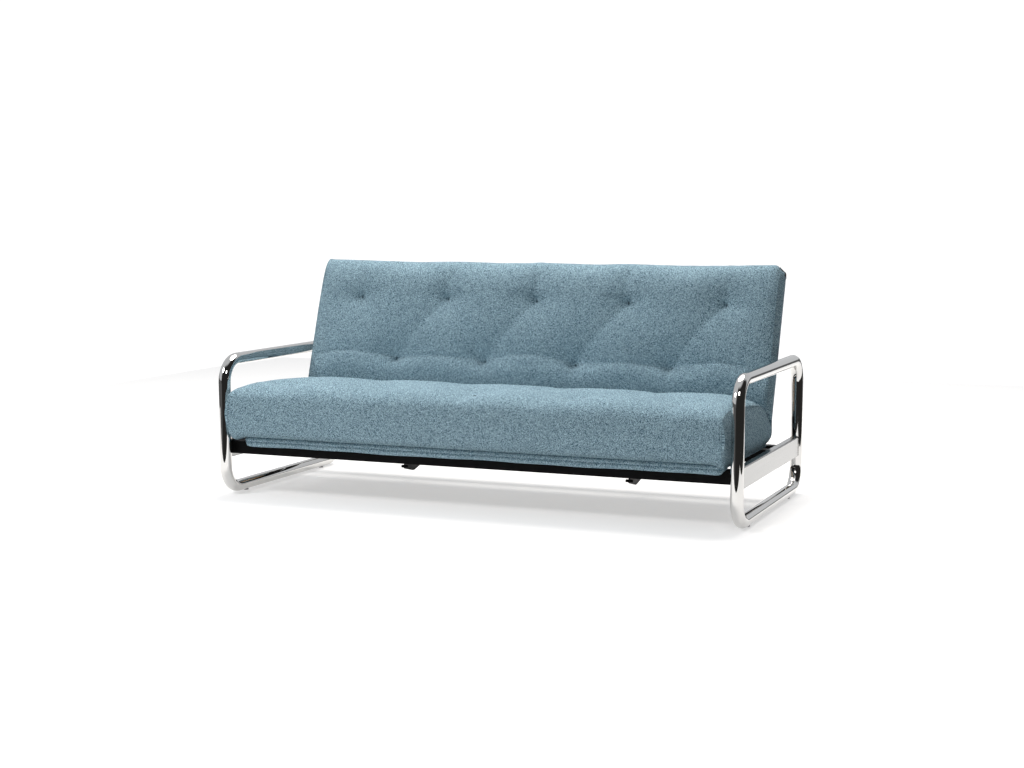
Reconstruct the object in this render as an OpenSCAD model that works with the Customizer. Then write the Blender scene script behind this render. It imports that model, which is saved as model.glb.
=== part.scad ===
// Futon sofa bed: a tufted mattress, folded once along its length, on a steel deck that hangs
// between two loops of bent chrome tube. The back half hinges down behind the seat to make a bed.
// +X runs to the sitter's left, +Y to the back and +Z up. The origin is on the floor, midway.

/* [Mattress] */
// Length of the mattress, from loop to loop
mattress_l = 2000; // [1600:10:2400]
// Depth of the seat half, from its front edge to the fold
seat_d = 700; // [580:5:850]
// Thickness of the seat half
seat_t = 194; // [150:1:235]
// Length of the back half, measured up its lean
back_h = 700; // [580:5:850]
// Thickness of the back half
back_t = 103; // [85:1:125]
// Lean of the raised back from upright, in degrees
lean = 20; // [16:1:24]
// Height of the deck that the mattress lies on
deck_z = 240; // [225:1:290]
// Height of the crease above the fold, measured up the back
crease_s = 149; // [120:1:180]
// Gap left between the seat half and the back half at the crease
crease_gap = 3; // [2:0.5:6]
// Gap between the back half and its deck
back_gap = 0.5; // [0.3:0.1:2]
// Roundness of the mattress's long edges
edge_r = 38; // [20:1:42]

/* [Loops] */
// Outer diameter of the chrome tube
tube_od = 48; // [38:1:60]
// Wall of the chrome tube
tube_wall = 2; // [1.5:0.1:3]
// Height of a loop, over its tubes
loop_h = 561; // [460:1:680]
// Bend radius of a loop's corners, to the tube's centre line
bend_r = 90; // [70:1:110]
// Gap between the mattress's end and the loop beside it
loop_gap = 21; // [10:1:40]
// Distance that the seat's front edge stands out past the loops
seat_overhang = 31; // [0:1:60]
// Distance from the fold back to the rear of the loops
loop_reach = 299; // [270:1:360]
// Thickness of the floor glides below the tube
glide_t = 3; // [2:0.5:6]
// Diameter of a floor glide
glide_od = 22; // [16:1:30]
// Distance of the floor glides from the loop's front and rear
glide_inset = 170; // [150:5:300]

/* [Rails] */
// Height of the chrome side rails
side_rail_h = 80; // [72:1:100]
// Thickness of the chrome side rails
side_rail_t = 30; // [24:1:40]
// Distance of the side rails' top edge below the deck
side_rail_drop = 8; // [4:1:14]
// Height of the black cross rails
rail_h = 50; // [40:1:60]
// Depth of the front rail, from front to back
front_rail_d = 50; // [40:1:60]
// Depth of the hinge rail and of the rear rail
inner_rail_d = 40; // [30:1:50]
// Wall of every square steel tube
rail_wall = 2; // [1.5:0.1:3]
// Gap between the front legs and the front rail's face
rail_setback = 9; // [4:1:20]
// Thickness of the plates welded to the cross rails' ends
end_plate_t = 6; // [4:1:8]
// Length of an end plate past its rail, where the bolts go
end_plate_tail = 50; // [40:1:60]
// Diameter of the bolts that hold the cross rails
rail_bolt_d = 8; // [6:1:10]

/* [Deck] */
// Number of slats in the seat, and again in the back
slat_n = 9; // [7:1:10]
// Width of a slat
slat_w = 70; // [50:1:90]
// Thickness of a slat
slat_t = 8; // [6:0.5:10]
// Wall of the plastic slat holders
holder_wall = 3; // [2:0.5:4]
// Length of a slat holder
holder_l = 30; // [20:1:40]
// Thickness of the thin pad below the mattress
pad_t = 21.5; // [15:0.5:22]
// Distance from each end of the mattress to the pad's end
pad_inset = 33; // [20:1:60]
// Distance that the pad stands out past the front rail
pad_lip = 33; // [20:1:45]
// Height of the pad's lip, in front of the rail
pad_lip_h = 40; // [30:1:48]

/* [Back frame] */
// Side of the back frame's square tube
back_tube = 25; // [20:1:25]
// Distance from the mattress's end to the back frame
frame_inset = 70; // [60:1:120]
// Distance from the fold up to the back frame's bottom rail
bottom_rail_s = 8; // [6:1:14]
// Distance from the mattress's top edge down to the back frame's top
frame_top_gap = 10; // [4:1:30]

/* [Hinges] */
// Distance of the hinge line below the deck and behind the back's deck
pivot_drop = 20; // [18:0.5:22]
// Diameter of the hinge pins
pin_d = 12; // [8:1:14]
// Running clearance around the pins, on the radius
pin_clear = 0.05; // [0.02:0.01:0.1]
// Radius of the rounded eyes around the hinge pins
eye_r = 18; // [14:0.5:18]
// Thickness of the hinge plates on the hinge rail
plate_t = 5; // [4:0.5:7]
// Thickness of the hinge lugs on the back frame
lug_t = 6; // [4:0.5:8]
// Radius of a ratchet wheel over its teeth
ratchet_r = 15.5; // [13:0.5:16]
// Thickness of a ratchet wheel
ratchet_t = 8; // [6:0.5:10]
// Number of teeth round a ratchet wheel
ratchet_teeth = 18; // [14:1:24]
// Distance from each end of the mattress to the V-shaped hinge plates
gusset_inset = 515; // [420:5:600]
// Height of the V-shaped plates' lowest point above the floor
gusset_tip_z = 53; // [40:1:80]

/* [Support legs] */
// Distance from each end of the mattress to a support leg
leg_inset = 400; // [300:5:480]
// Outer diameter of a support leg
leg_od = 22; // [18:1:26]
// Distance of the leg pivots behind the back's deck
leg_pivot_n = 47; // [44:1:52]
// Diameter of the leg pivot bolts
leg_bolt_d = 8; // [6:1:8]
// Outer diameter of a rubber foot
foot_od = 30; // [28:1:34]

/* [Hidden] */
$fn = 64;
chrome = "#c9ccd0";
black_paint = "#1a1b1d";
beech = "#d9b98a";
black_plastic = "#26272a";
zinc = "#9da1a6";
fabric_blue = "#6d93a8";
touch = 0.01;

// Places across the width
half_l = mattress_l / 2;
tube_r = tube_od / 2;
loop_x = half_l + loop_gap + tube_r;
side_rail_x = loop_x - side_rail_t / 2;
plate_x = side_rail_x - end_plate_t;
gusset_x = half_l - gusset_inset;
stile_x = half_l - frame_inset - back_tube;
leg_x = half_l - leg_inset;

// Places from front to back, with the whole depth centred on the origin
loop_d = seat_d - seat_overhang + loop_reach;
seat_front = -(seat_overhang + loop_d) / 2;
fold_y = seat_front + seat_d;
loop_y = seat_front + seat_overhang + loop_d / 2;
leg_offset = loop_d / 2 - tube_r;
front_rail_y = loop_y - leg_offset + tube_r + rail_setback;
pivot_y = fold_y + pivot_drop * (1 - sin(lean)) / cos(lean);
pivot_z = deck_z - pivot_drop;
rail_to_pivot = 34;
hinge_rail_y = pivot_y - rail_to_pivot - inner_rail_d;
pivot_to_rear_rail = 61;
rear_rail_y = pivot_y + pivot_to_rear_rail;

// Heights
rail_gap = 2.5;
rail_top = deck_z - pad_t - rail_gap;
rail_bottom = rail_top - rail_h;
flat_gap = 1;
rear_rail_top = deck_z - back_tube - flat_gap;
side_rail_top = deck_z - side_rail_drop;
pad_bottom = deck_z - pad_t - touch;
tube_low_z = glide_t + tube_r;
tube_high_z = glide_t + loop_h - tube_r;

// The back's own frame: y is the distance n behind its deck, z the distance s up from the fold
pivot_n = pivot_drop;
pivot_s = -pivot_drop * (1 - sin(lean)) / cos(lean);
frame_top_s = back_h - frame_top_gap;
top_rail_s = frame_top_s - back_tube;
leg_pivot_s = frame_top_s - back_tube / 2;
leg_len = deck_z - leg_pivot_n - flat_gap;

// Slats and their holders
slat_play = 0.3;
seat_holder_top = rail_top + 1;
seat_slat_z = seat_holder_top - holder_wall - slat_t;
back_slat_n = 4;
slat_end_gap = 3;

// Hinge stations across the width, as distances from the middle
lug_gap = 0.5;
wheel_x = gusset_x + plate_t + lug_gap;
lug_x = wheel_x + ratchet_t;
end_lug_x = stile_x + back_tube;
end_plate_hinge_x = end_lug_x + lug_t + lug_gap;
pin_head_t = 4;
pin_ring_t = 2.5;
pin_ring_gap = 0.5;
pawl_drop = 42;
pawl_pin_r = 4;
pawl_side = 8;
lug_back_n = 36;
lug_front_n = 4;

// Extrudes an outline drawn as y across and z up, from x0 along +X
module across(x0, t) translate([x0, 0, 0]) rotate([90, 0, 90]) linear_extrude(t) children();

// Puts a piece drawn in the back's own frame where the raised back is
module on_back() translate([0, fold_y, deck_z]) rotate([-lean, 0, 0]) children();

// Turns a piece of the +X side into its partner on the -X side
module other_side() mirror([1, 0, 0]) children();

// A piece on the +X side and its mirror image
module both_sides() {
    children();
    other_side() children();
}

// Outline of a square tube, d deep and h high, from the corner at the origin
module tube_outline(d, h, wall) {
    difference() {
        square([d, h]);
        translate([wall, wall]) square([d - 2 * wall, h - 2 * wall]);
    }
}

// A closed loop of round bar in the YZ plane: four straights joined by quarter bends
module loop_bar(r) {
    run_y = leg_offset - bend_r;
    run_z = (tube_high_z - tube_low_z) / 2 - bend_r;
    mid_z = (tube_high_z + tube_low_z) / 2;
    translate([0, loop_y, mid_z]) {
        for (side = [-1, 1]) {
            translate([0, side * leg_offset, -run_z]) cylinder(r = r, h = 2 * run_z);
            translate([0, -run_y, side * (run_z + bend_r)]) rotate([-90, 0, 0]) cylinder(r = r, h = 2 * run_y);
        }
        for (turn = [0:3]) {
            corner_y = (turn == 0 || turn == 3) ? run_y : -run_y;
            corner_z = (turn < 2) ? run_z : -run_z;
            translate([0, corner_y, corner_z]) rotate([90, 0, 90])
                rotate([0, 0, 90 * turn]) rotate_extrude(angle = 90, $fn = 128)
                    translate([bend_r, 0]) circle(r = r);
        }
    }
}

// Bent chrome tube, with a hole below each floor glide's stem
stem_r = 4;
module loop_right() {
    color(chrome) translate([loop_x, 0, 0]) difference() {
        loop_bar(tube_r);
        loop_bar(tube_r - tube_wall);
        for (side = [-1, 1]) {
            translate([0, loop_y + side * (loop_d / 2 - glide_inset), 0])
                cylinder(r = stem_r + pin_clear, h = glide_t + 2 * tube_wall);
        }
    }
}

// Outline of a bar with rounded edges, centred on the origin
module soft_bar_outline(w, h, r) {
    square([w, h - 2 * r], center = true);
    square([w - 2 * r, h], center = true);
    for (a = [-1, 1], b = [-1, 1]) {
        translate([a * (w / 2 - r), b * (h / 2 - r)]) circle(r = r);
    }
}

// Chrome side rail: a hollow bar, its ends shaped to the legs it is welded between
side_rail_edge = 5;
module side_rail_right() {
    mid_z = side_rail_top - side_rail_h / 2;
    color(chrome) difference() {
        translate([loop_x, loop_y + leg_offset, mid_z]) rotate([90, 0, 0])
            linear_extrude(2 * leg_offset) difference() {
                soft_bar_outline(side_rail_t, side_rail_h, side_rail_edge);
                soft_bar_outline(side_rail_t - 2 * rail_wall, side_rail_h - 2 * rail_wall,
                                 side_rail_edge - rail_wall);
            }
        for (side = [-1, 1]) {
            translate([loop_x, loop_y + side * leg_offset, 0]) cylinder(r = tube_r, h = deck_z);
        }
        rail_bolt_holes();
    }
}

// Cross rail: a square tube across the frame, between its two end plates
module cross_rail(y, d, top) {
    color(black_paint) across(-plate_x, 2 * plate_x)
        translate([y, top - rail_h]) tube_outline(d, rail_h, rail_wall);
}

// Front edge, depth and top of each cross rail
RAILS = [[front_rail_y, front_rail_d, rail_top],
         [hinge_rail_y, inner_rail_d, rail_top],
         [rear_rail_y, inner_rail_d, rear_rail_top]];

module front_rail() cross_rail(RAILS[0][0], RAILS[0][1], RAILS[0][2]);
module hinge_rail() cross_rail(RAILS[1][0], RAILS[1][1], RAILS[1][2]);
module rear_rail() cross_rail(RAILS[2][0], RAILS[2][1], RAILS[2][2]);

// Where each rail's two bolts go, as y and z. The hinge rail's plate points forward.
function tail_dir(k) = (k == 1) ? -1 : 1;
function tail_y(k) = (k == 1) ? RAILS[k][0] - end_plate_tail / 2
                              : RAILS[k][0] + RAILS[k][1] + end_plate_tail / 2;
bolt_spread = 15;
BOLTS = [for (k = [0:2], up = [-1, 1]) [tail_y(k), RAILS[k][2] - rail_h / 2 + up * bolt_spread]];
bolt_play = 0.2;
bolt_grip = 20;

module rail_bolt_holes() {
    for (b = BOLTS) {
        translate([plate_x - touch, b[0], b[1]]) rotate([0, 90, 0])
            cylinder(r = rail_bolt_d / 2 + bolt_play, h = end_plate_t + 2 * rail_wall);
    }
}

// Plates welded to the cross rails' ends, bolted against the side rails
module rail_end_plates() {
    color(black_paint) both_sides() {
        for (k = [0:2]) {
            low_y = RAILS[k][0] - ((tail_dir(k) < 0) ? end_plate_tail : 0);
            difference() {
                translate([plate_x, low_y, RAILS[k][2] - rail_h])
                    cube([end_plate_t, RAILS[k][1] + end_plate_tail, rail_h]);
                rail_bolt_holes();
            }
        }
    }
}

// Hexagon bolts, put in from inside the frame
bolt_head_r = 7.5;
bolt_head_t = 5.5;
module rail_bolts() {
    color(zinc) both_sides() {
        for (b = BOLTS) {
            translate([plate_x, b[0], b[1]]) rotate([0, 90, 0]) {
                cylinder(r = rail_bolt_d / 2, h = bolt_grip);
                translate([0, 0, -bolt_head_t]) cylinder(r = bolt_head_r, h = bolt_head_t, $fn = 6);
            }
        }
    }
}

// Plastic glides that the loops stand on, each with a stem pressed up into the tube
glide_rise = 3;
stem_h = 9;
module floor_glides() {
    color(black_plastic) both_sides() {
        for (side = [-1, 1]) {
            translate([loop_x, loop_y + side * (loop_d / 2 - glide_inset), 0]) {
                difference() {
                    cylinder(r = glide_od / 2, h = glide_t + glide_rise);
                    translate([0, -glide_od, tube_low_z]) rotate([-90, 0, 0])
                        cylinder(r = tube_r, h = 2 * glide_od);
                }
                cylinder(r = stem_r, h = stem_h);
            }
        }
    }
}

// Middle of slat i across a deck that is span wide
function slat_x(i, span) = span * ((i - 0.5) / slat_n - 0.5);
seat_span = 2 * plate_x;
back_span = 2 * stile_x;

// Seat slat i, from holder to holder
module seat_slat(i) {
    low_y = front_rail_y + front_rail_d + slat_end_gap;
    high_y = hinge_rail_y - slat_end_gap;
    color(beech) translate([slat_x(i, seat_span) - slat_w / 2, low_y, seat_slat_z])
        cube([slat_w, high_y - low_y, slat_t]);
}

// A holder's shell round the end of a slat: w wide, t thick and l long, open towards +Y
module slat_holder() {
    w = slat_w + 2 * (slat_play + holder_wall);
    t = slat_t + 2 * (slat_play + holder_wall);
    difference() {
        translate([-w / 2, 0, -t / 2]) cube([w, holder_l, t]);
        translate([-w / 2 + holder_wall, slat_end_gap - slat_play, -t / 2 + holder_wall])
            cube([w - 2 * holder_wall, holder_l, t - 2 * holder_wall]);
    }
}

// Holders along the front rail and the hinge rail
module seat_slat_holders() {
    color(black_plastic) for (i = [1:slat_n]) {
        translate([slat_x(i, seat_span), 0, seat_slat_z + slat_t / 2]) {
            translate([0, front_rail_y + front_rail_d, 0]) slat_holder();
            translate([0, hinge_rail_y, 0]) rotate([0, 0, 180]) slat_holder();
        }
    }
}

// Thin pad on the slats, with a lip that hangs over the front rail
module deck_pad() {
    pad_l = mattress_l - 2 * pad_inset;
    pad_front = front_rail_y - pad_lip;
    pad_back = hinge_rail_y + inner_rail_d;
    lip_gap = 0.5;
    color(fabric_blue) translate([-pad_l / 2, 0, 0]) {
        translate([0, pad_front, pad_bottom]) cube([pad_l, pad_back - pad_front, pad_t - lip_gap]);
        translate([0, pad_front, deck_z - pad_lip_h])
            cube([pad_l, pad_lip - lip_gap, pad_lip_h - lip_gap]);
    }
}

// World place of a point of the back's own frame
function back_y(n, s) = fold_y + n * cos(lean) + s * sin(lean);
function back_z(n, s) = deck_z - n * sin(lean) + s * cos(lean);

// Seat half of the mattress, cut off at its back along the crease
crease_r = 10;
module seat_mattress() {
    top_z = deck_z + seat_t;
    crease_y = back_y(-back_t, crease_s);
    crease_z = back_z(-back_t, crease_s);
    color(fabric_blue) across(-half_l, mattress_l) hull($fn = 32) {
        translate([seat_front + edge_r, deck_z + edge_r]) circle(r = edge_r);
        translate([seat_front + edge_r, top_z - edge_r]) circle(r = edge_r);
        translate([seat_front + seat_d / 4, top_z - edge_r]) circle(r = edge_r);
        translate([crease_y - crease_gap / 2 - crease_r, crease_z - crease_r]) circle(r = crease_r);
        translate([fold_y - crease_gap - crease_r, deck_z]) square([crease_r, touch]);
    }
}

// Back half of the mattress, lying against the back's deck
module back_mattress() {
    color(fabric_blue) on_back() across(-half_l, mattress_l) hull($fn = 32) {
        translate([-back_t + crease_r, crease_s + crease_gap / 2 + crease_r]) circle(r = crease_r);
        translate([-back_gap - crease_r, 2 * crease_gap + crease_r]) square([crease_r, touch]);
        translate([-back_t + edge_r, back_h - edge_r]) circle(r = edge_r);
        translate([-back_gap - edge_r, back_h - edge_r]) circle(r = edge_r);
    }
}

// V-shaped plate under the hinge rail, which carries the hinge pin and the pawl's pin, with a
// stud through its front shoulder that the pawl's spring hooks on
gusset_half = 84;
gusset_drop = 18;
gusset_tip_back = 99;
gusset_tip_r = 6;
stud_d = 12;
stud_l = 13;
stud_inset = 8;
module hinge_plate_right() {
    tip_y = pivot_y - gusset_tip_back;
    front_y = tip_y - gusset_half;
    shoulder_z = gusset_tip_z + gusset_drop;
    back_edge = pivot_y + eye_r - 2;
    rail_rear = hinge_rail_y + inner_rail_d;
    color(black_paint) across(gusset_x, plate_t) difference() {
        union() {
            polygon([[front_y, rail_bottom], [front_y, shoulder_z],
                     [tip_y - gusset_tip_r, gusset_tip_z], [tip_y + gusset_tip_r, gusset_tip_z],
                     [tip_y + gusset_half, shoulder_z], [back_edge, rail_bottom - pawl_drop],
                     [pivot_y + eye_r, pivot_z], [pivot_y - eye_r, pivot_z],
                     [rail_rear, pivot_z - eye_r], [rail_rear, rail_bottom]]);
            translate([pivot_y, pivot_z]) circle(r = eye_r);
        }
        translate([pivot_y, pivot_z]) circle(r = pin_d / 2 + pin_clear);
        translate([pivot_y, pivot_z - pawl_drop]) circle(r = pawl_pin_r + pin_clear);
    }
    color(black_paint) across(gusset_x - stud_l, plate_t + 2 * stud_l)
        translate([front_y + stud_inset, shoulder_z + stud_inset]) circle(d = stud_d);
}

// Small plate on the hinge rail's back face, for the hinge at the end of the back frame
module end_hinge_right() {
    rail_rear = hinge_rail_y + inner_rail_d;
    color(black_paint) across(end_plate_hinge_x, plate_t) difference() {
        union() {
            translate([rail_rear, rail_bottom]) square([rail_to_pivot, pivot_z - rail_bottom]);
            translate([pivot_y, pivot_z]) circle(r = eye_r);
        }
        translate([pivot_y, pivot_z]) circle(r = pin_d / 2 + pin_clear);
    }
}

// A headed pin along +X through a stack that is grip thick, with a ring on its far end
module headed_pin(r, grip, head_r) {
    rotate([0, 90, 0]) {
        cylinder(r = r, h = grip + pin_ring_gap + pin_ring_t);
        translate([0, 0, -pin_head_t]) cylinder(r = head_r, h = pin_head_t);
        translate([0, 0, grip + pin_ring_gap]) cylinder(r = head_r - 1, h = pin_ring_t);
    }
}

// The four hinge pins: two at the ratchets, and two at the back frame's ends
pin_head_r = 10;
module hinge_pins() {
    color(zinc) both_sides() {
        translate([gusset_x, pivot_y, pivot_z])
            headed_pin(pin_d / 2, plate_t + lug_gap + ratchet_t + lug_t, pin_head_r);
        translate([end_plate_hinge_x + plate_t, pivot_y, pivot_z]) rotate([0, 0, 180])
            headed_pin(pin_d / 2, plate_t + lug_gap + lug_t, pin_head_r);
    }
}

// Pawl below the ratchet wheel, shown lifted just clear of its teeth
pawl_lift = 0.8;
module pawl_right() {
    finger_h = pawl_drop - ratchet_r - pawl_lift;
    color(zinc) across(wheel_x, ratchet_t - lug_gap) translate([pivot_y, pivot_z - pawl_drop])
        difference() {
            union() {
                circle(r = pawl_side);
                translate([-pawl_side / 2, 0]) square([pawl_side, finger_h]);
            }
            circle(r = pawl_pin_r + pin_clear);
        }
}

module pawl_pins() {
    color(zinc) both_sides() translate([gusset_x, pivot_y, pivot_z - pawl_drop])
        headed_pin(pawl_pin_r, plate_t + lug_gap + ratchet_t - lug_gap, pawl_side - 1);
}

// Side tube of the back frame
module back_stile_right() {
    stile_l = frame_top_s - bottom_rail_s;
    color(black_paint) on_back() translate([stile_x, 0, bottom_rail_s]) linear_extrude(stile_l)
        tube_outline(back_tube, back_tube, rail_wall);
}

// Tube across the back frame, between the side tubes
module back_rail(s) {
    color(black_paint) on_back() across(-stile_x, 2 * stile_x)
        translate([0, s]) tube_outline(back_tube, back_tube, rail_wall);
}
module back_top_rail() back_rail(top_rail_s);
module back_bottom_rail() back_rail(bottom_rail_s);

// Back slat i, from the bottom rail to the top rail
module back_slat(i) {
    low_s = bottom_rail_s + back_tube + slat_end_gap;
    high_s = top_rail_s - slat_end_gap;
    color(beech) on_back() translate([slat_x(i, back_span) - slat_w / 2, back_slat_n, low_s])
        cube([slat_w, slat_t, high_s - low_s]);
}

module back_slat_holders() {
    color(black_plastic) on_back() for (i = [1:slat_n]) {
        translate([slat_x(i, back_span), back_slat_n + slat_t / 2, 0]) {
            translate([0, 0, bottom_rail_s + back_tube]) rotate([90, 0, 0]) slat_holder();
            translate([0, 0, top_rail_s]) rotate([-90, 0, 0]) slat_holder();
        }
    }
}

// Hinge lug: an eye round the pin, and a foot that wraps below and behind the back frame. An end
// lug's foot also covers the side of the frame, because that lug stands beside it.
module lug_outline(foot_n) {
    foot_top = bottom_rail_s + back_tube;
    difference() {
        union() {
            translate([pivot_n, pivot_s]) circle(r = eye_r - 2);
            translate([lug_front_n, pivot_s]) square([lug_back_n - lug_front_n, bottom_rail_s - pivot_s]);
            translate([foot_n, pivot_s]) square([lug_back_n - foot_n, foot_top - pivot_s]);
        }
        translate([pivot_n, pivot_s]) circle(r = pin_d / 2 + pin_clear);
    }
}
module back_lug_right() color(black_paint) on_back() across(lug_x, lug_t) lug_outline(back_tube);
module end_lug_right() color(black_paint) on_back() across(end_lug_x, lug_t) lug_outline(lug_front_n);

// Saw-toothed wheel, welded to the lug's side
tooth_depth = 3;
module ratchet_wheel_right() {
    step = 360 / ratchet_teeth;
    root_r = ratchet_r - tooth_depth;
    teeth = [for (k = [0:ratchet_teeth - 1], part = [0, 1])
        let (r = (part == 0) ? ratchet_r : root_r, a = step * (k + part * 0.8))
            [r * cos(a), r * sin(a)]];
    color(zinc) on_back() across(wheel_x, ratchet_t) translate([pivot_n, pivot_s]) difference() {
        polygon(teeth);
        circle(r = pin_d / 2 + pin_clear);
    }
}

// Black webbing tab at a top corner, from the back frame out past the mattress's end
strap_w = 60;
strap_t = 2.5;
strap_peek = 5;
module corner_strap_right() {
    inner_x = stile_x + back_tube;
    color(black_plastic) on_back() translate([inner_x, back_gap, frame_top_s - strap_w])
        cube([half_l + strap_peek - inner_x, strap_t, strap_w]);
}

// U-shaped bracket behind the top rail, with an ear on each side of a support leg
ear_t = 3;
ear_r = 9;
ear_gap = 0.5;
module leg_bracket_right() {
    half_w = leg_od / 2 + ear_gap + ear_t;
    color(black_paint) on_back() {
        translate([leg_x - half_w, back_tube, top_rail_s]) cube([2 * half_w, ear_t, back_tube]);
        for (x = [leg_x - half_w, leg_x + half_w - ear_t]) {
            across(x, ear_t) difference() {
                union() {
                    translate([back_tube + ear_t - touch, leg_pivot_s - ear_r])
                        square([leg_pivot_n - back_tube - ear_t, 2 * ear_r]);
                    translate([leg_pivot_n, leg_pivot_s]) circle(r = ear_r);
                }
                translate([leg_pivot_n, leg_pivot_s]) circle(r = leg_bolt_d / 2 + pin_clear);
            }
        }
    }
}

module leg_bolts() {
    half_w = leg_od / 2 + ear_gap + ear_t;
    color(zinc) on_back() both_sides() translate([leg_x - half_w, leg_pivot_n, leg_pivot_s])
        headed_pin(leg_bolt_d / 2, 2 * half_w, ear_r - 2);
}

// Fold-out leg, folded down along the back, its lower end plugged by the foot
leg_top = 10;
leg_wall = 2;
leg_solid = 15;
foot_base = 5;
foot_wrap = 20;
module support_leg_right() {
    tube_l = leg_len - foot_base;
    color(black_paint) on_back() translate([leg_x, leg_pivot_n, leg_pivot_s]) difference() {
        translate([0, 0, -tube_l]) cylinder(r = leg_od / 2, h = tube_l + leg_top);
        translate([0, 0, -tube_l - touch]) cylinder(r = leg_od / 2 - leg_wall, h = tube_l - leg_solid);
        translate([-leg_od, 0, 0]) rotate([0, 90, 0])
            cylinder(r = leg_bolt_d / 2 + pin_clear, h = 2 * leg_od);
    }
}

module rubber_foot_right() {
    color(black_plastic) on_back() translate([leg_x, leg_pivot_n, leg_pivot_s - leg_len]) difference() {
        cylinder(r = foot_od / 2, h = foot_base + foot_wrap);
        translate([0, 0, foot_base]) cylinder(r = leg_od / 2, h = foot_wrap + touch);
    }
}

other_side() loop_right();  // loop_left
loop_right();
other_side() side_rail_right();  // side_rail_left
side_rail_right();
front_rail();
hinge_rail();
rear_rail();
rail_end_plates();
rail_bolts();
floor_glides();
for (i = [1:slat_n]) seat_slat(i);
seat_slat_holders();
deck_pad();
seat_mattress();
other_side() hinge_plate_right();  // hinge_plate_left
hinge_plate_right();
other_side() end_hinge_right();  // end_hinge_left
end_hinge_right();
hinge_pins();
other_side() pawl_right();  // pawl_left
pawl_right();
pawl_pins();
other_side() back_stile_right();  // back_stile_left
back_stile_right();
back_top_rail();
back_bottom_rail();
for (i = [1:slat_n]) back_slat(i);
back_slat_holders();
other_side() back_lug_right();  // back_lug_left
back_lug_right();
other_side() end_lug_right();  // end_lug_left
end_lug_right();
other_side() ratchet_wheel_right();  // ratchet_wheel_left
ratchet_wheel_right();
back_mattress();
other_side() corner_strap_right();  // corner_strap_left
corner_strap_right();
other_side() leg_bracket_right();  // leg_bracket_left
leg_bracket_right();
leg_bolts();
other_side() support_leg_right();  // support_leg_left
support_leg_right();
other_side() rubber_foot_right();  // rubber_foot_left
rubber_foot_right();
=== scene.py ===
import bpy
import math
import numpy as np
from mathutils.bvhtree import BVHTree
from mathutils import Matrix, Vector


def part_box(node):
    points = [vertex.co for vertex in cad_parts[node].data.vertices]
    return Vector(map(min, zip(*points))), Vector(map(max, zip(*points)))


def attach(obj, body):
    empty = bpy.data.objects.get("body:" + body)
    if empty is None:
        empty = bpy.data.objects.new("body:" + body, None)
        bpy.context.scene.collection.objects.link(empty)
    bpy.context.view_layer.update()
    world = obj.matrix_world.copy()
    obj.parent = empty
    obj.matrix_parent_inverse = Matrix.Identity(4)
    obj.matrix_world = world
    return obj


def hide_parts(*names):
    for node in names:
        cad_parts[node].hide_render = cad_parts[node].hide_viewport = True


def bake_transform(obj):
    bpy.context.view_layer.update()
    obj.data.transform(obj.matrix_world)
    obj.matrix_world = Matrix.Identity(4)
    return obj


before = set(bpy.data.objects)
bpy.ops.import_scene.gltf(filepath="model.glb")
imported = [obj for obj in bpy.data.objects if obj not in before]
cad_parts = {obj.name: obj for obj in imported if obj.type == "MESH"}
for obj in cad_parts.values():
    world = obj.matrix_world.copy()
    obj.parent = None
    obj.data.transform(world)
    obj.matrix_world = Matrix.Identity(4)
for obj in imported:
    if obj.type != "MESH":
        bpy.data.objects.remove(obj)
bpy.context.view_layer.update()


# ---------------------------------------------------------------- studio: camera, floor and light

# The sofa stands on plain white floor paper in a pale studio. It is seen from standing height and from
# the right through a long lens, under two small soft boxes, a wide overhead one and a weak front one.

def rgb(code):
    """A colour written as sRGB hex, as the linear colour that shaders take."""
    parts = [int(code[i:i + 2], 16) / 255 for i in (1, 3, 5)]
    return [p / 12.92 if p <= 0.04045 else ((p + 0.055) / 1.055) ** 2.4 for p in parts] + [1.0]


def feed(node, feeds):
    """Gives each named socket of a node its value, or links it to the node or socket that supplies it."""
    for key, source in feeds.items():
        if isinstance(source, bpy.types.Node):
            source = next(socket for socket in source.outputs if socket.enabled)
        if isinstance(source, bpy.types.NodeSocket):
            node.id_data.links.new(source, node.inputs[key])
        else:
            node.inputs[key].default_value = source


def add(tree, kind, feeds=None, stops=(), **settings):
    """A new node with its settings and what feeds it. Stops are a colour ramp's places and colours."""
    made = tree.nodes.new(kind)
    for key, value in settings.items():
        setattr(made, key, value)
    feed(made, feeds or {})
    for i, (place, code) in enumerate(stops):
        if i >= len(made.color_ramp.elements):
            made.color_ramp.elements.new(place)
        made.color_ramp.elements[i].position = place
        made.color_ramp.elements[i].color = rgb(code)
    return made


def new_material(name, **sockets):
    """A material with its shader's even sockets set, its node tree and its shader."""
    mat = bpy.data.materials.new(name)
    mat.use_nodes = True
    shader = mat.node_tree.nodes["Principled BSDF"]
    feed(shader, {key.replace("_", " "): value for key, value in sockets.items()})
    return mat, mat.node_tree, shader


def new_object(name, verts, faces, mat):
    """A mesh object at the origin, its points in the shared frame in metres."""
    mesh = bpy.data.meshes.new(name)
    mesh.from_pydata([tuple(map(float, v)) for v in verts], [], faces)
    mesh.validate()
    mesh.materials.append(mat)
    made = bpy.data.objects.new(name, mesh)
    bpy.context.scene.collection.objects.link(made)
    return made


camera = bpy.data.objects.new("camera", bpy.data.cameras.new("camera"))
bpy.context.scene.collection.objects.link(camera)
camera.location = (2.540, -6.160, 1.153)
camera.rotation_euler = (math.pi / 2 - 0.1059, 0, 0.3903)
camera.data.lens = 59.2
camera.data.sensor_width = 36
bpy.context.scene.camera = camera
bpy.context.scene.view_settings.view_transform = "Standard"

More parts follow.
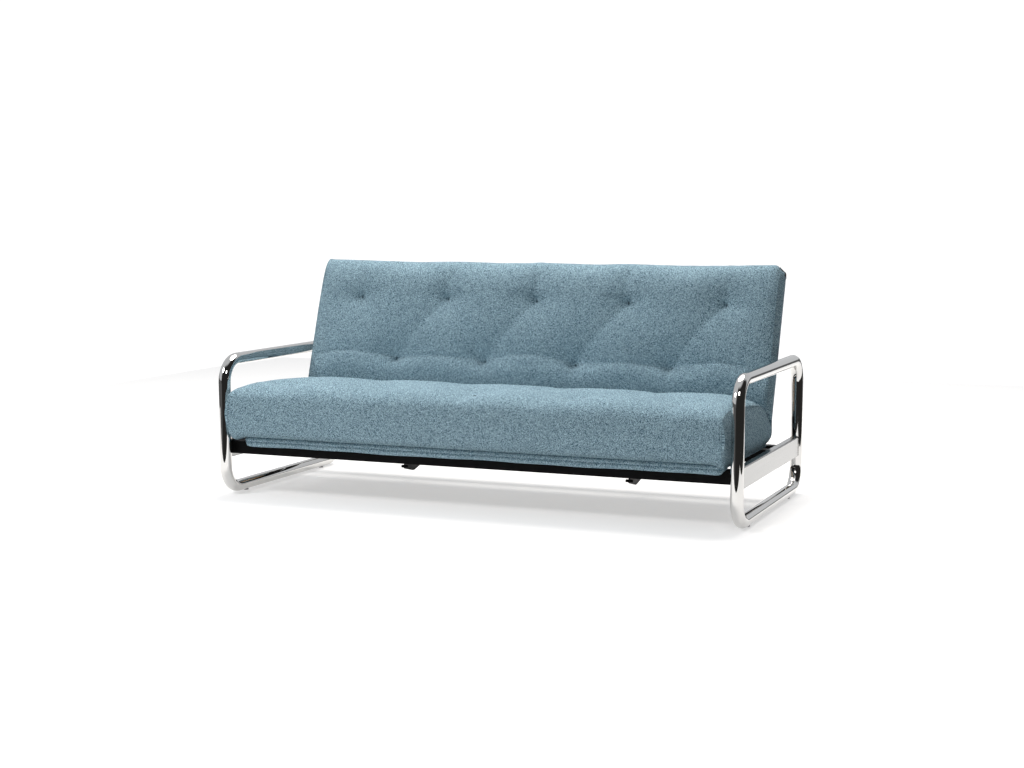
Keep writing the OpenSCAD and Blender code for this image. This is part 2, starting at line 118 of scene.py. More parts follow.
# White floor paper, matt and even. It glows faintly where it is seen, which keeps shadows pale, and
# less where it lights the sofa. It ends in front, so that the chrome finds something dark low down.
paper, tree, shader = new_material("white_floor_paper", Base_Color=rgb("#d2d2d2"), Roughness=0.9,
                                   Specular_IOR_Level=0.1, Emission_Color=rgb("#ffffff"))
bounced = add(tree, "ShaderNodeLightPath").outputs["Is Diffuse Ray"]
feed(shader, {"Emission Strength": add(tree, "ShaderNodeMapRange", {"Value": bounced, "To Min": 0.45,
                                                                    "To Max": 0.15})})
floor_left, floor_right, floor_front, floor_back = -4.0, 2.4, -1.35, 5.0
floor = new_object("floor", [(floor_left, floor_front, 0), (floor_right, floor_front, 0),
                             (floor_right, floor_back, 0), (floor_left, floor_back, 0)],
                   [(0, 1, 2, 3)], paper)

# Studio walls: white above and behind, dark in front and to the right up to a steep angle, and dark in
# a thin band at the horizon. Past the floor, plain white is seen.
world = bpy.data.worlds.new("studio")
bpy.context.scene.world = world
world.use_nodes = True
tree = world.node_tree
tree.nodes.clear()
way = add(tree, "ShaderNodeTexCoord").outputs["Generated"]
axes = add(tree, "ShaderNodeSeparateXYZ", {"Vector": way}).outputs
to_right = add(tree, "ShaderNodeMath", {0: axes["X"], 1: 1.3}, operation="MULTIPLY")
facing = add(tree, "ShaderNodeMath", {0: to_right, 1: axes["Y"]}, operation="SUBTRACT")
ahead = add(tree, "ShaderNodeMapRange", {"Value": facing, "From Min": 0.05, "From Max": 0.40},
            interpolation_type="SMOOTHSTEP")
low = add(tree, "ShaderNodeMapRange", {"Value": axes["Z"], "From Min": 0.97, "From Max": 0.84},
          interpolation_type="SMOOTHSTEP")
front_wall = add(tree, "ShaderNodeMath", {0: ahead, 1: low}, operation="MULTIPLY")
band = add(tree, "ShaderNodeMapRange", {"Value": axes["Z"], "From Min": 0.075, "From Max": 0.045,
                                        "To Max": 0.85}, interpolation_type="SMOOTHSTEP")
dark = add(tree, "ShaderNodeMath", {0: front_wall, 1: band}, operation="MAXIMUM")
walls = add(tree, "ShaderNodeMix", {"Factor": dark, "A": rgb("#f3f5f8"), "B": rgb("#353433")},
            data_type="RGBA")
studio = add(tree, "ShaderNodeBackground", {"Color": walls.outputs["Result"], "Strength": 0.75})
plain = add(tree, "ShaderNodeBackground", {"Color": rgb("#ffffff"), "Strength": 1.1})
seen = add(tree, "ShaderNodeLightPath").outputs["Is Camera Ray"]
both = add(tree, "ShaderNodeMixShader", {0: seen, 1: studio, 2: plain})
add(tree, "ShaderNodeOutputWorld", {"Surface": both})


def soft_box(name, place, target, size, power, color):
    """An oval area light at a place, aimed at a target."""
    light = bpy.data.lights.new(name, "AREA")
    light.shape = "ELLIPSE"
    light.size, light.size_y = size
    light.energy = power
    light.color = color
    lamp = bpy.data.objects.new(name, light)
    bpy.context.scene.collection.objects.link(lamp)
    lamp.location = place
    aim = np.array(target, float) - np.array(place, float)
    lamp.rotation_euler = (math.acos(-aim[2] / np.linalg.norm(aim)), 0, math.atan2(-aim[0], aim[1]))
    return lamp


soft_box("left_box", (-2.2, -2.6, 2.7), (0, 0, 0.4), (1.3, 1.0), 60, (1.0, 0.99, 0.98))
soft_box("right_box", (1.9, -2.9, 2.9), (0, 0, 0.4), (1.1, 0.9), 26, (1.0, 0.99, 0.98))
soft_box("top_box", (0, 1.5, 4.6), (0, 0.1, 0), (4.0, 3.0), 262, (1.0, 0.96, 0.92))
front_box = soft_box("front_box", (-1.2, -5.0, 0.9), (0, 0, 0.3), (3.0, 1.2), 32, (1.0, 0.99, 0.98))
front_box.visible_glossy = False


# ---------------------------------------------------------------- arm loops

# Arm, legs and foot of each side in one: a length of 48 mm steel tube bent into a closed loop, its
# joint welded and ground flush, then polished and plated with bright chrome.
MM = 0.001


def dress(starts, mat):
    """Gives a material to every CAD node whose name starts so."""
    for name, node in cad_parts.items():
        if name.startswith(starts):
            for slot in node.material_slots:
                slot.material = mat


# Bright chrome on polished tube: a near mirror. The bending left waves about 70 mm long that bend the
# reflections a little, and hands left patches about 110 mm across that are slightly duller.
chrome, tree, shader = new_material("bright_chrome_on_polished_tube", Metallic=1.0,
                                    Base_Color=rgb("#d2d1cf"))
where = add(tree, "ShaderNodeTexCoord").outputs["Object"]
handled = add(tree, "ShaderNodeTexNoise", {"Vector": where, "Scale": 1 / (110 * MM), "Detail": 4.0})
waves = add(tree, "ShaderNodeTexNoise", {"Vector": where, "Scale": 1 / (70 * MM), "Detail": 1.0})
feed(shader, {"Roughness": add(tree, "ShaderNodeMapRange", {"Value": handled, "From Min": 0.45,
                                                            "From Max": 0.75, "To Min": 0.018,
                                                            "To Max": 0.05}),
              "Normal": add(tree, "ShaderNodeBump", {"Height": waves, "Distance": 0.4 * MM,
                                                     "Strength": 0.12})})
dress(("loop_",), chrome)


# ---------------------------------------------------------------- side rails

# Flat hollow bar that joins the two legs of each loop and carries the deck. It is rolled from steel
# strip, linished along its length, shaped at its ends, welded between the legs and chromed.

# Satin chrome on linished strip: reflections are soft and drawn out, because the belt left streaks
# 4 mm apart and 330 mm long along the bar.
satin, tree, shader = new_material("satin_chrome_on_linished_strip", Metallic=1.0,
                                   Base_Color=rgb("#a4a4a3"))
where = add(tree, "ShaderNodeTexCoord").outputs["Object"]
drawn_out = add(tree, "ShaderNodeMapping", {"Vector": where, "Scale": (1 / (4 * MM), 1 / (330 * MM),
                                                                       1 / (4 * MM))})
streaks = add(tree, "ShaderNodeTexNoise", {"Vector": drawn_out, "Scale": 1.0, "Detail": 2.0})
feed(shader, {"Roughness": add(tree, "ShaderNodeMapRange", {"Value": streaks, "From Min": 0.3,
                                                            "From Max": 0.7, "To Min": 0.14,
                                                            "To Max": 0.20})})
dress(("side_rail",), satin)


# ---------------------------------------------------------------- black steel frame

# Seat rails with their end plates and gussets, the back's four tubes with their lugs and hinges, and
# the folding legs. All are mild steel, welded up, blasted, powder coated black and baked.

# Baked black powder coat: a dull, nearly even black. Its orange peel is about 1 mm across, and patches
# about 33 mm across where hands and slats have rubbed it are a little greyer and smoother.
black, tree, shader = new_material("baked_black_powder_coat", Specular_IOR_Level=0.06)
where = add(tree, "ShaderNodeTexCoord").outputs["Object"]
peel = add(tree, "ShaderNodeTexNoise", {"Vector": where, "Scale": 1 / (1.1 * MM), "Detail": 2.0})
rubbed = add(tree, "ShaderNodeTexNoise", {"Vector": where, "Scale": 1 / (33 * MM), "Detail": 5.0})
feed(shader, {"Base Color": add(tree, "ShaderNodeValToRGB", {"Fac": rubbed},
                                stops=((0.35, "#0b0b0c"), (0.62, "#101011"), (0.8, "#161617"))),
              "Roughness": add(tree, "ShaderNodeMapRange", {"Value": rubbed, "From Min": 0.3,
                                                            "From Max": 0.7, "To Min": 0.34,
                                                            "To Max": 0.52}),
              "Normal": add(tree, "ShaderNodeBump", {"Height": peel, "Distance": 0.3 * MM,
                                                     "Strength": 0.35})})
dress(("front_rail", "hinge_rail", "rear_rail", "rail_end", "hinge_plate", "end_hinge", "back_stile",
       "back_top", "back_bottom", "back_lug", "end_lug", "leg_bracket", "support_leg"), black)


# ---------------------------------------------------------------- bolts, pins and ratchets

# Small turned and stamped steel parts: the bolts that hold the rails and the legs, the pins that the
# back turns on, and the toothed wheels with their spring pawls.

# Barrel-plated zinc: soft grey metal, mottled in patches about 6 mm across where parts knocked together
# in the barrel.
zinc, tree, shader = new_material("barrel_plated_zinc", Metallic=1.0, Roughness=0.34)
where = add(tree, "ShaderNodeTexCoord").outputs["Object"]
mottle = add(tree, "ShaderNodeTexNoise", {"Vector": where, "Scale": 1 / (6 * MM), "Detail": 3.0})
feed(shader, {"Base Color": add(tree, "ShaderNodeValToRGB", {"Fac": mottle},
                                stops=((0.3, "#8f9397"), (0.7, "#b6babd"))),
              "Normal": add(tree, "ShaderNodeBump", {"Height": mottle, "Distance": 0.2 * MM,
                                                     "Strength": 0.2})})
dress(("rail_bolts", "hinge_pins", "pawl", "ratchet", "leg_bolts"), zinc)


# ---------------------------------------------------------------- slats

# Nine springy slats across the seat and nine up the back, each one board of beech, planed, its edges
# eased, and oiled. They sit in holders and are not glued.

# Planed and oiled beech: pale pinkish brown, with straight grain 4 mm apart, and the short dark flecks
# of beech. Flecks are drawn 1 mm wide and 11 mm long, coarser than real ones, so that they show. Each
# board is a little lighter or darker than the next.
beech, tree, shader = new_material("planed_oiled_beech", Roughness=0.48, Coat_Weight=0.1,
                                   Coat_Roughness=0.35)
where = add(tree, "ShaderNodeTexCoord").outputs["Object"]
along = add(tree, "ShaderNodeMapping", {"Vector": where, "Scale": (1 / (4 * MM), 1 / (200 * MM),
                                                                   1 / (200 * MM))})
grain = add(tree, "ShaderNodeTexNoise", {"Vector": along, "Scale": 1.0, "Detail": 4.0})
short = add(tree, "ShaderNodeMapping", {"Vector": where, "Scale": (1 / (1.1 * MM), 1 / (11 * MM),
                                                                   1 / (11 * MM))})
flecks = add(tree, "ShaderNodeTexNoise", {"Vector": short, "Scale": 1.0, "Detail": 2.0})
wide = add(tree, "ShaderNodeMapping", {"Vector": where, "Scale": (1 / (220 * MM), 0.4, 0.4)})
board = add(tree, "ShaderNodeTexNoise", {"Vector": wide, "Scale": 1.0, "Detail": 0.0})
board_share = add(tree, "ShaderNodeMath", {0: board, 1: 0.4}, operation="MULTIPLY")
tone = add(tree, "ShaderNodeMath", {0: grain, 1: 0.6, 2: board_share}, operation="MULTIPLY_ADD")
wood = add(tree, "ShaderNodeValToRGB", {"Fac": tone},
           stops=((0.32, "#b98a5c"), (0.5, "#d2aa7c"), (0.68, "#e2c299")))
in_fleck = add(tree, "ShaderNodeMapRange", {"Value": flecks, "From Min": 0.62, "From Max": 0.72,
                                            "To Max": 0.45})
flecked = add(tree, "ShaderNodeMix", {"Factor": in_fleck, "A": wood, "B": rgb("#8d6238")}, data_type="RGBA")
feed(shader, {"Base Color": flecked.outputs["Result"],
              "Normal": add(tree, "ShaderNodeBump", {"Height": grain, "Distance": 0.3 * MM,
                                                     "Strength": 0.4})})
dress(("seat_slat", "back_slat"), beech)


# ---------------------------------------------------------------- slat holders

# Cups that hold the slats' ends and take their rattle, moulded in black polypropylene and pushed on
# the rails.

# Injection-moulded black plastic: satin, with the pebbled texture of a spark-eroded mould. The pebbles
# are drawn 0.7 mm across, coarser than real ones, so that they show.
plastic, tree, shader = new_material("injection_moulded_black_plastic", Roughness=0.5)
where = add(tree, "ShaderNodeTexCoord").outputs["Object"]
pebbles = add(tree, "ShaderNodeTexNoise", {"Vector": where, "Scale": 1 / (0.7 * MM), "Detail": 1.0})
handled = add(tree, "ShaderNodeTexNoise", {"Vector": where, "Scale": 1 / (40 * MM), "Detail": 3.0})
feed(shader, {"Base Color": add(tree, "ShaderNodeValToRGB", {"Fac": handled},
                                stops=((0.35, "#1c1c1e"), (0.7, "#262628"))),
              "Normal": add(tree, "ShaderNodeBump", {"Height": pebbles, "Distance": 0.2 * MM,
                                                     "Strength": 0.4})})
dress(("seat_slat_holders", "back_slat_holders"), plastic)


# ---------------------------------------------------------------- floor glides

# Four thin nylon discs under the loops, each on a stem that is pressed up into a hole in the tube, so
# that the sofa slides without scratching.

# Scuffed grey nylon: satin, with scuffs about 3 mm across from the floor.
nylon, tree, shader = new_material("scuffed_grey_nylon", Roughness=0.45)
where = add(tree, "ShaderNodeTexCoord").outputs["Object"]
scuffs = add(tree, "ShaderNodeTexNoise", {"Vector": where, "Scale": 1 / (3.3 * MM), "Detail": 3.0})
feed(shader, {"Base Color": add(tree, "ShaderNodeValToRGB", {"Fac": scuffs},
                                stops=((0.35, "#8e9092"), (0.7, "#a9abad"))),
              "Normal": add(tree, "ShaderNodeBump", {"Height": scuffs, "Distance": 0.2 * MM,
                                                     "Strength": 0.3})})
dress(("floor_glides",), nylon)


# ---------------------------------------------------------------- rubber feet

# Ferrules that grip the floor when the legs are down, moulded in black rubber and pushed on the tubes.

# Moulded black rubber: matt, with pale dust in patches about 17 mm across.
rubber, tree, shader = new_material("moulded_black_rubber", Roughness=0.85)
where = add(tree, "ShaderNodeTexCoord").outputs["Object"]
dust = add(tree, "ShaderNodeTexNoise", {"Vector": where, "Scale": 1 / (17 * MM), "Detail": 5.0})
feed(shader, {"Base Color": add(tree, "ShaderNodeValToRGB", {"Fac": dust},
                                stops=((0.4, "#121212"), (0.75, "#2a2928"))),
              "Normal": add(tree, "ShaderNodeBump", {"Height": dust, "Distance": 0.3 * MM,
                                                     "Strength": 0.4})})
dress(("rubber_foot",), rubber)


# ---------------------------------------------------------------- deck pad

# Thin pad between the slats and the mattress: felt sewn into the cover's own fabric, its front edge
# bound and its ends rounded. It lies loose on the slats, with a lip that hangs over the front rail.

def spline(points, per_span=10):
    """A smooth curve through the points (Catmull-Rom), as an array."""
    p = np.array(points, float)
    p = np.vstack([2 * p[0] - p[1], p, 2 * p[-1] - p[-2]])
    out = []
    for i in range(1, len(p) - 2):
        for t in np.arange(per_span) / per_span:
            a, b, c, d = p[i - 1], p[i], p[i + 1], p[i + 2]
            out.append(0.5 * (2 * b + (c - a) * t + (2 * a - 5 * b + 4 * c - d) * t ** 2
                              + (3 * b - a - 3 * c + d) * t ** 3))
    out.append(p[-2])
    return np.array(out)


def smoothstep(x):
    """A soft step: 0 up to 0, 1 from 1 on, and smooth between."""
    x = np.clip(x, 0, 1)
    return x * x * (3 - 2 * x)


def weave(name, dark_code, middle_code, light_code):
    """Woven melange upholstery, crepe-like: blue-grey yarns 2.1 mm apart cross in a plain weave, and
    thicker slubs 2 mm wide and 6 mm long run both ways, so that it looks crackled, light and dark. It
    is dry and matt, with a little nap. It is read from the flat cloth's own places, in metres."""
    mat, tree, shader = new_material(name, Roughness=0.9, Sheen_Weight=0.05, Sheen_Roughness=0.4,
                                     Specular_IOR_Level=0.05)
    cloth = add(tree, "ShaderNodeUVMap", uv_map="weave")
    axes = add(tree, "ShaderNodeSeparateXYZ", {"Vector": cloth}).outputs
    turn = math.pi / (2.1 * MM)
    waves = []
    for axis in ("X", "Y"):
        angle = add(tree, "ShaderNodeMath", {0: axes[axis], 1: turn}, operation="MULTIPLY")
        waves.append(add(tree, "ShaderNodeMath", {0: angle}, operation="SINE"))
    crossing = add(tree, "ShaderNodeMath", {0: waves[0], 1: waves[1]}, operation="MULTIPLY")
    raised = add(tree, "ShaderNodeMath", {0: crossing}, operation="ABSOLUTE")
    slubs = []
    thin, long = 430, 180  # slubs to the metre, across and along one
    for scale in ((thin, long, 1), (long, thin, 1)):
        stretched = add(tree, "ShaderNodeMapping", {"Vector": cloth, "Scale": scale})
        slubs.append(add(tree, "ShaderNodeTexNoise", {"Vector": stretched, "Scale": 1.0, "Detail": 1.0}))
    apart = add(tree, "ShaderNodeMath", {0: slubs[0], 1: slubs[1]}, operation="SUBTRACT")
    distance = add(tree, "ShaderNodeMath", {0: apart}, operation="ABSOLUTE")
    crackle = add(tree, "ShaderNodeMapRange", {"Value": distance, "From Max": 0.13})
    hairs = 700  # to the metre, so the yarn's unevenness is 1.4 mm long
    flat = add(tree, "ShaderNodeMapping", {"Vector": cloth, "Scale": (hairs, hairs, 1)})
    yarn = add(tree, "ShaderNodeTexNoise", {"Vector": flat, "Scale": 1.0, "Detail": 2.0})
    slub = add(tree, "ShaderNodeMath", {0: slubs[0], 1: slubs[1]}, operation="MAXIMUM")
    tone = add(tree, "ShaderNodeMath", {0: yarn, 1: 0.15}, operation="MULTIPLY")
    for part, share in ((slub, 0.55), (crackle, 0.30)):
        tone = add(tree, "ShaderNodeMath", {0: part, 1: share, 2: tone}, operation="MULTIPLY_ADD")
    height = add(tree, "ShaderNodeMath", {0: raised, 1: 0.5, 2: crackle}, operation="MULTIPLY_ADD")
    feed(shader, {"Base Color": add(tree, "ShaderNodeValToRGB", {"Fac": tone},
                                    stops=((0.38, dark_code), (0.55, middle_code), (0.70, light_code))),
                  "Normal": add(tree, "ShaderNodeBump", {"Height": height, "Distance": 1.2 * MM,
                                                         "Strength": 0.5})})
    return mat


def lay_weave(piece, uvs):
    """Gives the corners of each face their places on the flat cloth, in metres."""
    layer = piece.data.uv_layers.new(name="weave")
    for face, corners in zip(piece.data.polygons, uvs):
        for loop, uv in zip(face.loop_indices, corners):
            layer.data[loop].uv = uv


def lengths(path):
    """How far along a path each of its points is."""
    return np.concatenate([[0], np.cumsum(np.linalg.norm(np.diff(path, axis=0), axis=1))])


pad_low, pad_high = (np.array(corner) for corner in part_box("deck_pad"))
rail_low, rail_high = (np.array(corner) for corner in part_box("front_rail"))
lip, rear = pad_low[1], pad_high[1]
rail, rail_top = rail_low[1], rail_high[2]
top, bottom = pad_high[2], pad_low[2]

# Section from the rear edge forward over the top, round the bound lip and back along the underside.
pad_section = spline([(rear - 0.004, top - 0.010), (rear - 0.012, top - 0.001), (rear - 0.040, top),
                      (rail + 0.30, top), (rail + 0.05, top), (lip + 0.016, top - 0.001),
                      (lip + 0.003, top - 0.008), (lip + 0.002, top - 0.014), (lip + 0.004, top - 0.017),
                      (lip, top - 0.024), (lip + 0.003, top - 0.034), (lip + 0.014, bottom + 0.0005),
                      (rail - 0.006, bottom + 0.004), (rail - 0.002, rail_top - 0.006),
                      (rail + 0.004, rail_top + 0.0015), (rail + 0.05, rail_top + 0.003),
                      (rail + 0.30, rail_top + 0.003), (rear - 0.030, rail_top + 0.003),
                      (rear - 0.008, rail_top + 0.006)], 4)
section_n = len(pad_section)
pad_columns = 121
pad_right = pad_high[0] + 0.030  # its right end reaches a little further than its left
end_round = 0.03
pad_verts, pad_faces, pad_uvs = [], [], []
pad_along = lengths(pad_section)
middle = (rail_top + top) / 2 + 0.001
for c in range(pad_columns):
    x = pad_low[0] + (pad_right - pad_low[0]) * c / (pad_columns - 1)
    from_end = min(x - pad_low[0], pad_right - x) / end_round
    thin = math.sqrt(max(0.0, 1 - (1 - min(1.0, from_end)) ** 2))
    ripple = 0.0012 * math.sin(9.0 * x + 1.0) + 0.0008 * math.sin(23.0 * x)
    for y, z in pad_section:
        on_lip = smoothstep((rail + 0.01 - y) / 0.03) * smoothstep((top - 0.010 - z) / 0.02)
        pulled_in = (1 - thin) * 0.02 if y < rail else 0
        height = middle + (z - middle) * (0.25 + 0.75 * thin)
        pad_verts.append((x, y + pulled_in, height + float(on_lip) * ripple))
for c in range(pad_columns - 1):
    for k in range(section_n):
        m = (k + 1) % section_n
        a, b = c * section_n, (c + 1) * section_n
        pad_faces.append((a + k, a + m, b + m, b + k))
        ends = [(pad_verts[a][0], pad_along[k]), (pad_verts[a][0], pad_along[k] + 0.01),
                (pad_verts[b][0], pad_along[k] + 0.01), (pad_verts[b][0], pad_along[k])]
        if k + 1 < section_n:
            ends[1] = (pad_verts[a][0], pad_along[m])
            ends[2] = (pad_verts[b][0], pad_along[m])
        pad_uvs.append(ends)
pad_faces.append(tuple(reversed(range(section_n))))
pad_faces.append(tuple((pad_columns - 1) * section_n + k for k in range(section_n)))

# The same cloth as the mattress's, painted lighter: its lighter colours are painted light, standing in for
# the light that the mattress's overhang keeps off the pad.
pad_cloth_painted_lighter = weave("woven_melange_pad_cloth", "#1f3a47", "#6a8da0", "#c4e0ec")
pad = new_object("soft_deck_pad", pad_verts, pad_faces, pad_cloth_painted_lighter)
pad.data.shade_smooth()
lay_weave(pad, pad_uvs)
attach(pad, "base")
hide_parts("deck_pad")


# ---------------------------------------------------------------- futon mattress

# One cotton and foam mattress, 2 m long, sewn into a woven cover and folded along its length: its
# front part lies on the seat and the rest leans on the back. Ties through it make staggered dimples,
# and the cover's slack gathers in folds between them. Straps and the fold's own weight hold it.
cover = weave("woven_melange_upholstery", "#152b37", "#557383", "#b1cedb")

# Half its length, the height and front of its deck, how deep the seat is, and how far the back leans.
seat_low, seat_high = (np.array(corner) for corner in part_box("seat_mattress"))
HALF = seat_high[0]
DECK = seat_low[2]
FRONT = seat_low[1]
LEAN = math.radians(20)
SEAT_DEPTH = 0.700
FOLD = FRONT + SEAT_DEPTH


def leant(n, s):
    """Point (y, z) that is n behind the back's deck and s up it from the fold."""
    return (FOLD + n * math.cos(LEAN) + s * math.sin(LEAN),
            DECK - n * math.sin(LEAN) + s * math.cos(LEAN))


# Section of the folded mattress, in four stretches that share their ends: the top of the seat from
# its nose down into the crease, the front of the back from the crease up to its nose, and the two
# undersides, which meet at the fold. Near the ends the crease opens, so the two stretches along it
# have a second shape there.
creased = (FOLD - 0.050, DECK + 0.136)
creased_end = (FOLD - 0.010, DECK + 0.078)
seat_nose = (FRONT, DECK + 0.095)
back_nose = leant(-0.055, 0.699)
fold_low = (FOLD - 0.002, DECK + 0.0015)
seat_front = [seat_nose, (FRONT + 0.001, DECK + 0.148), (FRONT + 0.010, DECK + 0.171),
              (FRONT + 0.035, DECK + 0.184), (FRONT + 0.080, DECK + 0.190)]
seat_top = spline(seat_front + [(FRONT + 0.185, DECK + 0.195), (FRONT + 0.340, DECK + 0.186),
                                (FRONT + 0.500, DECK + 0.176), (FOLD - 0.105, DECK + 0.176),
                                (FOLD - 0.075, DECK + 0.172), (FOLD - 0.062, DECK + 0.158), creased])
seat_end = spline(seat_front + [(FRONT + 0.185, DECK + 0.193), (FRONT + 0.340, DECK + 0.182),
                                (FRONT + 0.500, DECK + 0.168), (FOLD - 0.105, DECK + 0.146),
                                (FOLD - 0.070, DECK + 0.125), (FOLD - 0.034, DECK + 0.098), creased_end])
back_top = [leant(-0.113, 0.33), leant(-0.116, 0.50), leant(-0.112, 0.62), leant(-0.099, 0.672),
            leant(-0.078, 0.694), back_nose]
back_face = spline([creased, (FOLD - 0.055, DECK + 0.158), leant(-0.121, 0.164), leant(-0.124, 0.187),
                    leant(-0.121, 0.215), leant(-0.111, 0.253)] + back_top)
back_end = spline([creased_end, (FOLD - 0.026, DECK + 0.101), (FOLD - 0.054, DECK + 0.132),
                   leant(-0.108, 0.160), leant(-0.110, 0.230)] + back_top)
seat_under = spline([seat_nose, (FRONT + 0.001, DECK + 0.045), (FRONT + 0.008, DECK + 0.018),
                     (FRONT + 0.030, DECK + 0.003), (FRONT + 0.100, DECK + 0.001),
                     (FRONT + 0.400, DECK + 0.001), fold_low])
back_rear = spline([fold_low, leant(-0.0015, 0.03), leant(-0.0015, 0.30), leant(-0.0015, 0.62),
                    leant(-0.006, 0.668), leant(-0.025, 0.693), back_nose])

COLUMNS = 125


def crowded(start, end, count, centres, width, gain):
    """count places from start to end, packed closer near the centres."""
    fine = np.linspace(start, end, 4000)
    dense = np.ones_like(fine)
    for centre in centres:
        dense += gain * np.exp(-((fine - centre) / width) ** 2)
    total = np.concatenate([[0], np.cumsum((dense[1:] + dense[:-1]) / 2)])
    return np.interp(np.linspace(0, total[-1], count), total, fine)


def spaced(path, count, centres, width=0.022, gain=1.6):
    """count points along a path, packed closer at the given distances along it."""
    along = lengths(path)
    want = crowded(0, along[-1], count, centres, width, gain)
    return np.stack([np.interp(want, along, path[:, k]) for k in range(path.shape[1])], axis=1)


SEAT_STEPS = 47
BACK_STEPS = 46
tops = np.vstack([spaced(seat_top, SEAT_STEPS, (0.245, 0.500), gain=1.0),
                  spaced(back_face, BACK_STEPS, (0.165, 0.428))[1:]])
end_tops = np.vstack([spaced(seat_end, SEAT_STEPS, (0.245, 0.500), gain=1.0),
                      spaced(back_end, BACK_STEPS, (0.225, 0.488))[1:]])
unders = np.vstack([spaced(seat_under, SEAT_STEPS, ()), spaced(back_rear, BACK_STEPS, ())[1:]])
ROWS = len(tops)
fine_at = (-0.98, -0.8, -0.6, -0.4, -0.2, 0, 0.2, 0.4, 0.6, 0.8, 0.98)
xs = crowded(-HALF, HALF, COLUMNS, fine_at, 0.022, 1.6)

# Tufts: ties through the mattress in staggered rows. Those on the back are (x, s) up the back, and
# those on the seat are (x, y) on the seat.
UPPER_ROW, LOWER_ROW = 0.516, 0.253
five_across = (-0.8, -0.4, 0.0, 0.4, 0.8)
four_across = (-0.6, -0.2, 0.2, 0.6)
upper_tufts = [(x, UPPER_ROW) for x in five_across]
lower_tufts = [(x, LOWER_ROW) for x in four_across]
seat_tufts = [(x, FRONT + 0.400) for x in four_across]
seat_tufts += [(x, FRONT + 0.145) for x in five_across]


def along_fold(px, ps, ax, a_s, bx, b_s, width):
    """How near points are to the fold between two tufts: 1 on it, fading across and in its middle."""
    dx, ds = bx - ax, b_s - a_s
    length = math.hypot(dx, ds)
    t = ((px - ax) * dx + (ps - a_s) * ds) / length ** 2
    off = np.abs((px - ax) * ds - (ps - a_s) * dx) / length
    inside = smoothstep(t * 8) * smoothstep((1 - t) * 8)
    fade = 0.45 + 0.55 * np.abs(2 * t - 1)
    return np.exp(-(off / width) ** 2) * inside * fade


def sunk(px, ps, tufts, depth, reach):
    """Depth of the dimples at these points."""
    total = np.zeros_like(px)
    for tx, ts in tufts:
        far = np.hypot(px - tx, (ps - ts) * 1.05)
        total = np.maximum(total, depth * np.exp(-far / reach))
    return total


def roll_line(px):
    """Height up the back of the fold that runs through the lower tufts and arcs between them."""
    arch = np.abs(np.sin(np.pi * (px + 0.2) / 0.4))
    lift = np.where(np.abs(px) < 0.2, 0.026, np.where(np.abs(px) < 0.6, 0.006, 0.020))
    return LOWER_ROW + lift * arch * np.where(np.abs(px) > 0.8, smoothstep((1.06 - np.abs(px)) / 0.26), 1)


grid_x, grid_row = np.meshgrid(xs, np.arange(ROWS), indexing="ij")
to_end = smoothstep((np.abs(xs) - 0.90) / (HALF - 0.90))[:, None]
top_y = (1 - to_end) * tops[:, 0] + to_end * end_tops[:, 0]
top_z = (1 - to_end) * tops[:, 1] + to_end * end_tops[:, 1]
up_back = (top_y - FOLD) * math.sin(LEAN) + (top_z - DECK) * math.cos(LEAN)
on_back = grid_row >= SEAT_STEPS - 1

# Outward direction of the top sheet's section at each row.
slope = np.gradient(tops, axis=0)
outward = np.stack([-slope[:, 1], slope[:, 0]], axis=1)
outward /= np.linalg.norm(outward, axis=1)[:, None]

# The back: a soft crown, dimples, the roll below the lower tufts, and slack diagonal folds.
away_from_ends = smoothstep((HALF - np.abs(grid_x)) / 0.16)
crown = 0.010 * smoothstep((up_back - 0.16) / 0.10) * smoothstep((0.70 - up_back) / 0.14) * away_from_ends
fold_at = roll_line(grid_x)
gap = up_back - fold_at
roll = np.where(gap > 0, np.exp(-gap / 0.026), np.exp(gap / 0.008))
valley = 0.012 * roll * smoothstep((HALF - np.abs(grid_x)) / 0.05)
arc_gap = up_back - fold_at - 0.042 * np.abs(np.sin(np.pi * (grid_x + 0.2) / 0.4))
arc = np.where(arc_gap > 0, np.exp(-arc_gap / 0.020), np.exp(arc_gap / 0.007))
arc *= 0.004 * smoothstep((0.62 - np.abs(grid_x)) / 0.04)
back_push = crown - valley - arc
for ux, us in upper_tufts:
    for lx, ls in lower_tufts:
        if abs(ux - lx) < 0.25:
            strength = 0.0090 if ux > lx else 0.0055
            back_push -= strength * along_fold(grid_x, up_back, ux, us, lx, ls, 0.011)
back_push -= sunk(grid_x, up_back, upper_tufts, 0.036, 0.017)
back_push -= sunk(grid_x, up_back, lower_tufts, 0.034, 0.017)

# The seat: a low crown and shallow dimples. Past its deck's ends the mattress's underside droops.
seat_edge = smoothstep((top_y - FRONT) / 0.16) * smoothstep((FOLD - 0.06 - top_y) / 0.10)
seat_push = 0.006 * seat_edge * away_from_ends * (top_z > DECK + 0.14)
seat_push -= sunk(grid_x, top_y, seat_tufts, 0.010, 0.034) * (top_z > DECK + 0.14)

push = np.where(on_back, back_push, seat_push)
top_y = top_y + outward[None, :, 0] * push
top_z = top_z + outward[None, :, 1] * push
under_y = np.tile(unders[:, 0], (COLUMNS, 1))
droop = 0.018 * smoothstep((np.abs(xs) - 0.955) / 0.045)[:, None] * (np.arange(ROWS) < SEAT_STEPS)
droop = droop * smoothstep((unders[:, 0] - FRONT - 0.012) / 0.04)
droop = droop * smoothstep((FOLD - 0.02 - unders[:, 0]) / 0.1)
under_z = np.tile(unders[:, 1], (COLUMNS, 1)) - droop

# The strap has pulled the back's right top corner round. The left one is still square.
CORNER = 0.034


def corner_drop(px, s):
    """How far the rounded top corner draws the back's points down."""
    past = np.clip((px - (HALF - CORNER)) / CORNER, 0, 1)
    return 0.8 * CORNER * (1 - np.sqrt(1 - past ** 2)) * smoothstep((s - 0.50) / 0.18)


